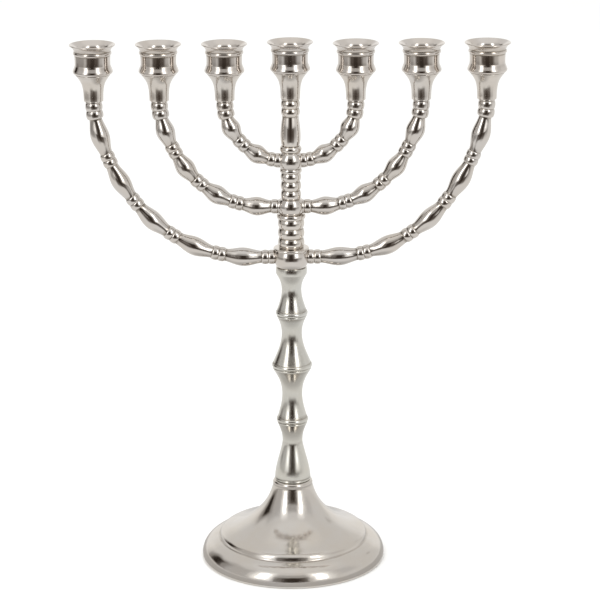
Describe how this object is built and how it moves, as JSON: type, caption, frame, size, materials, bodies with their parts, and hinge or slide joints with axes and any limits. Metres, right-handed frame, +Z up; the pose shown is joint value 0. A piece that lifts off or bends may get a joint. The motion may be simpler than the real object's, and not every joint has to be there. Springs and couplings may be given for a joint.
{
  "type": "menorah",
  "caption": "Branched candelabrum for ritual candles: beaded curved arms in one plane, each with a flared candle cup, on a knopped stem and a round hollow foot.",
  "frame": {"origin": "middle of the foot's flat underside, on the post's axis", "axes": "+Z up the post, +X and -X along the branches, +Y to the back"},
  "size_m": [0.2858, 0.1242, 0.3561],
  "materials": {
    "nickel_foot": "polished nickel plate on cast brass",
    "nickel_turned": "polished nickel plate on turned brass",
    "nickel_cast": "polished nickel plate on cast brass",
    "nickel_cup": "polished nickel plate on turned brass",
    "steel_fastener": "zinc-plated steel"
  },
  "bodies": {
    "root": {"foot": "nickel_foot", "foot_washer": "steel_fastener", "foot_nut": "steel_fastener", "tie_rod": "steel_fastener", "stem_low": "nickel_turned", "stem_lower_middle": "nickel_turned", "stem_upper_middle": "nickel_turned", "stem_top": "nickel_turned", "branch_pair_outer": "nickel_cast", "post_beads_lower": "nickel_turned", "branch_pair_middle": "nickel_cast", "post_beads_upper": "nickel_turned", "branch_pair_inner": "nickel_cast", "post_head": "nickel_turned", "neck_centre": "nickel_turned", "candle_cup_centre": "nickel_cup", "neck_inner_left": "nickel_turned", "candle_cup_inner_left": "nickel_cup", "neck_inner_right": "nickel_turned", "candle_cup_inner_right": "nickel_cup", "neck_middle_left": "nickel_turned", "candle_cup_middle_left": "nickel_cup", "neck_middle_right": "nickel_turned", "candle_cup_middle_right": "nickel_cup", "neck_outer_left": "nickel_turned", "candle_cup_outer_left": "nickel_cup", "neck_outer_right": "nickel_turned", "candle_cup_outer_right": "nickel_cup", "cup_screws": "steel_fastener"}
  },
  "joints": []
}
